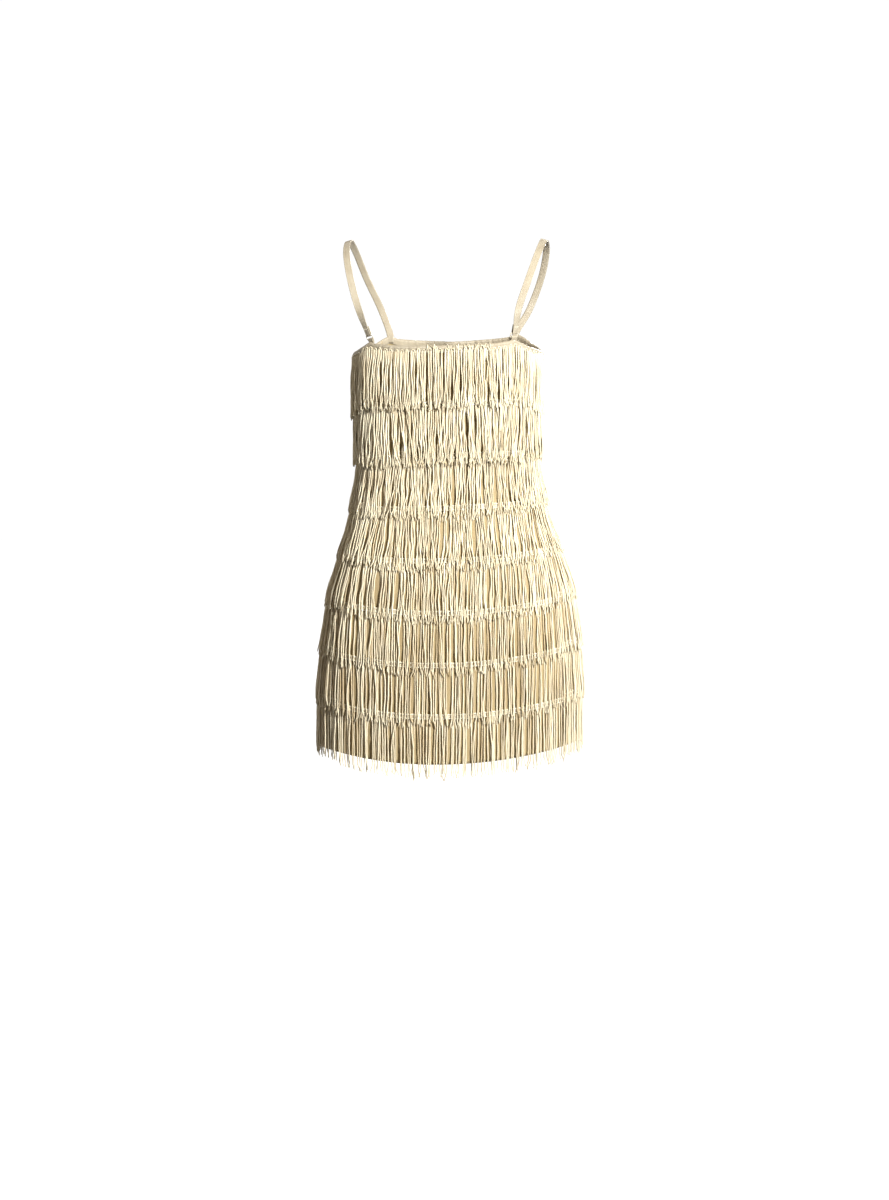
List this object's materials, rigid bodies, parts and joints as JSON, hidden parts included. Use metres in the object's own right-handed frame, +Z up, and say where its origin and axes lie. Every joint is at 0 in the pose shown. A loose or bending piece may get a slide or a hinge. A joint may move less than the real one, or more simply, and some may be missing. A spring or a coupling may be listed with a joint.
{
  "type": "fringed flapper dress",
  "caption": "Short sleeveless flapper dress, hollow as worn, with overlapping rows of hanging chainette fringe, a bound top edge and thin straps that end in rings at the back.",
  "frame": {"origin": "midway between the undersides of the two straps where they cross the shoulders", "axes": "+Z up, +Y to the front of the dress, so the back seen in the picture faces -Y, and +X to the dress's right side as it is worn"},
  "size_m": [0.4128, 0.2568, 0.8025],
  "materials": {
    "body_cloth": "matt beige knit, seen between the strands",
    "fringe": "cream chainette with a soft silky sheen",
    "binding_satin": "cream satin, gathered on a narrow elastic",
    "strap_satin": "ivory satin strap elastic",
    "strap_ring": "smooth ivory coating"
  },
  "bodies": {
    "root": {"body_back": "body_cloth", "body_side_right": "body_cloth", "body_front": "body_cloth", "body_side_left": "body_cloth", "binding": "binding_satin", "fringe_back_1": "fringe", "fringe_back_2": "fringe", "fringe_back_3": "fringe", "fringe_back_4": "fringe", "fringe_back_5": "fringe", "fringe_back_6": "fringe", "fringe_back_7": "fringe", "fringe_back_8": "fringe", "fringe_side_right_1": "fringe", "fringe_side_right_2": "fringe", "fringe_side_right_3": "fringe", "fringe_side_right_4": "fringe", "fringe_side_right_5": "fringe", "fringe_side_right_6": "fringe", "fringe_side_right_7": "fringe", "fringe_side_right_8": "fringe", "fringe_front_1": "fringe", "fringe_front_2": "fringe", "fringe_front_3": "fringe", "fringe_front_4": "fringe", "fringe_front_5": "fringe", "fringe_front_6": "fringe", "fringe_front_7": "fringe", "fringe_front_8": "fringe", "fringe_side_left_1": "fringe", "fringe_side_left_2": "fringe", "fringe_side_left_3": "fringe", "fringe_side_left_4": "fringe", "fringe_side_left_5": "fringe", "fringe_side_left_6": "fringe", "fringe_side_left_7": "fringe", "fringe_side_left_8": "fringe", "strap_left": "strap_satin", "tab_left": "strap_satin", "ring_left": "strap_ring", "strap_right": "strap_satin", "tab_right": "strap_satin", "ring_right": "strap_ring"}
  },
  "joints": []
}
